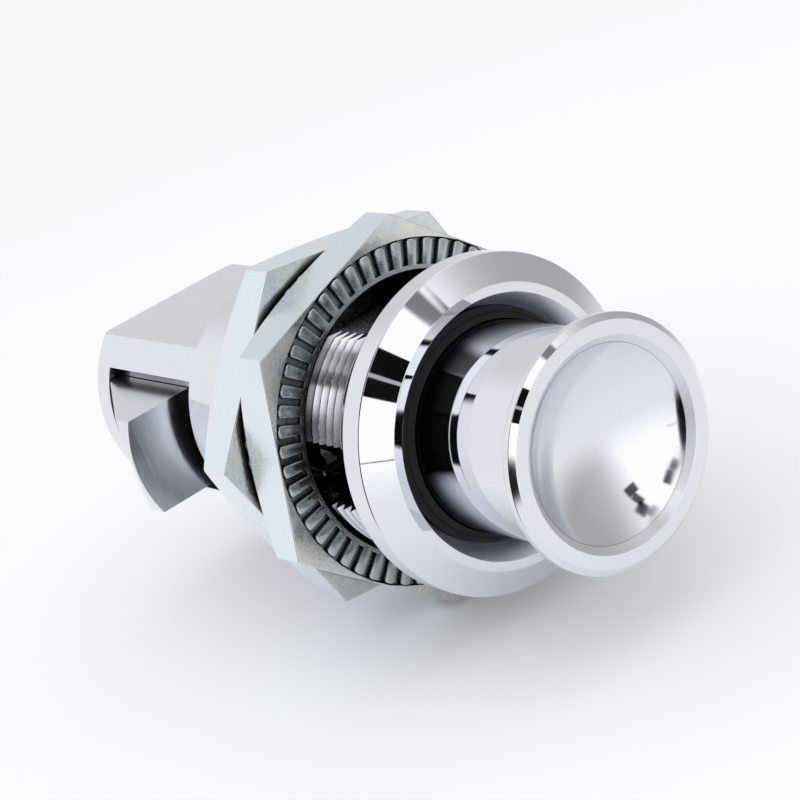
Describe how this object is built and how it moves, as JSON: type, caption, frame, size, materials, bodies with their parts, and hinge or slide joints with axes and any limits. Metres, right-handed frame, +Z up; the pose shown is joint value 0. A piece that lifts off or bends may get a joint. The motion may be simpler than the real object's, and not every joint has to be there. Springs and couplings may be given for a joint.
{
  "type": "cabinet cylinder lock",
  "caption": "Push-knob cylinder lock for a cabinet door: dished knob, rosette, threaded barrel with hexagon nuts, and a housing with a wedge latch bolt.",
  "frame": {"origin": "on the lock's axis at the rosette's back face, where the door panel seats", "axes": "+Y runs along the axis from the knob to the rear cap, +Z is up through the flat on the housing, and the latch bolt comes out towards -X"},
  "size_m": [0.0336, 0.0602, 0.0334],
  "materials": {
    "rosette": "polished chrome plate",
    "barrel": "plated zinc alloy",
    "dust_seal": "matte black rubber",
    "housing": "plated zinc alloy",
    "end_cap": "plated zinc alloy",
    "cap_screws": "zinc plated",
    "set_screw": "blackened",
    "front_nut": "zinc plated",
    "rear_nut": "zinc plated",
    "knob": "polished chrome plate",
    "thumb_dish": "polished chrome plate",
    "retaining_ring": "blackened spring steel",
    "knob_spring": "spring wire",
    "spindle": "turned",
    "spindle_head": "turned",
    "spring_washer": "zinc plated",
    "spindle_nut": "turned",
    "drive_pin": "ground",
    "latch_wire": "spring wire",
    "latch_bolt": "plated, front face brushed",
    "bolt_spring": "spring wire"
  },
  "bodies": {
    "case": {"rosette": "rosette", "barrel": "barrel", "dust_seal": "dust_seal", "housing": "housing", "end_cap": "end_cap", "cap_screws": "cap_screws", "set_screw": "set_screw", "bolt_spring": "bolt_spring"},
    "spindle_group": {"spindle": "spindle", "spindle_head": "spindle_head", "spring_washer": "spring_washer", "spindle_nut": "spindle_nut", "drive_pin": "drive_pin", "knob_spring": "knob_spring"},
    "knob_group": {"knob": "knob", "thumb_dish": "thumb_dish", "retaining_ring": "retaining_ring"},
    "bolt": {"latch_bolt": "latch_bolt"},
    "wire": {"latch_wire": "latch_wire"},
    "front_nut": {"front_nut": "front_nut"},
    "rear_nut": {"rear_nut": "rear_nut"}
  },
  "joints": [
    {"name": "knob_pull", "type": "slide", "parent": "case", "child": "spindle_group", "axis": [0, -1, 0], "range_m": [0, 0.004], "stiffness_N_per_m": 400, "springref_m": -0.006},
    {"name": "knob_push", "type": "slide", "parent": "spindle_group", "child": "knob_group", "axis": [0, 1, 0], "range_m": [0, 0.0109], "stiffness_N_per_m": 250, "springref_m": -0.008, "deforming": ["knob_spring"]},
    {"name": "bolt_slide", "type": "slide", "parent": "case", "child": "bolt", "axis": [1, 0, 0], "range_m": [0, 0.0055], "deforming": ["bolt_spring"]},
    {"name": "wire_swing", "type": "hinge", "parent": "case", "child": "wire", "pos_m": [-0.00923, 0.0225, 0], "axis": [-1, 0, 0], "range_deg": [0, 13]},
    {"name": "front_nut_spin", "type": "hinge", "parent": "case", "child": "front_nut", "pos_m": [0, 0.0105, 0], "axis": [0, 1, 0], "continuous": true},
    {"name": "rear_nut_spin", "type": "hinge", "parent": "case", "child": "rear_nut", "pos_m": [0, 0.0156, 0], "axis": [0, 1, 0], "continuous": true}
  ],
  "couplings": [
    {"joint": "bolt_slide", "follows": "knob_pull", "ratio": 1.375}
  ]
}
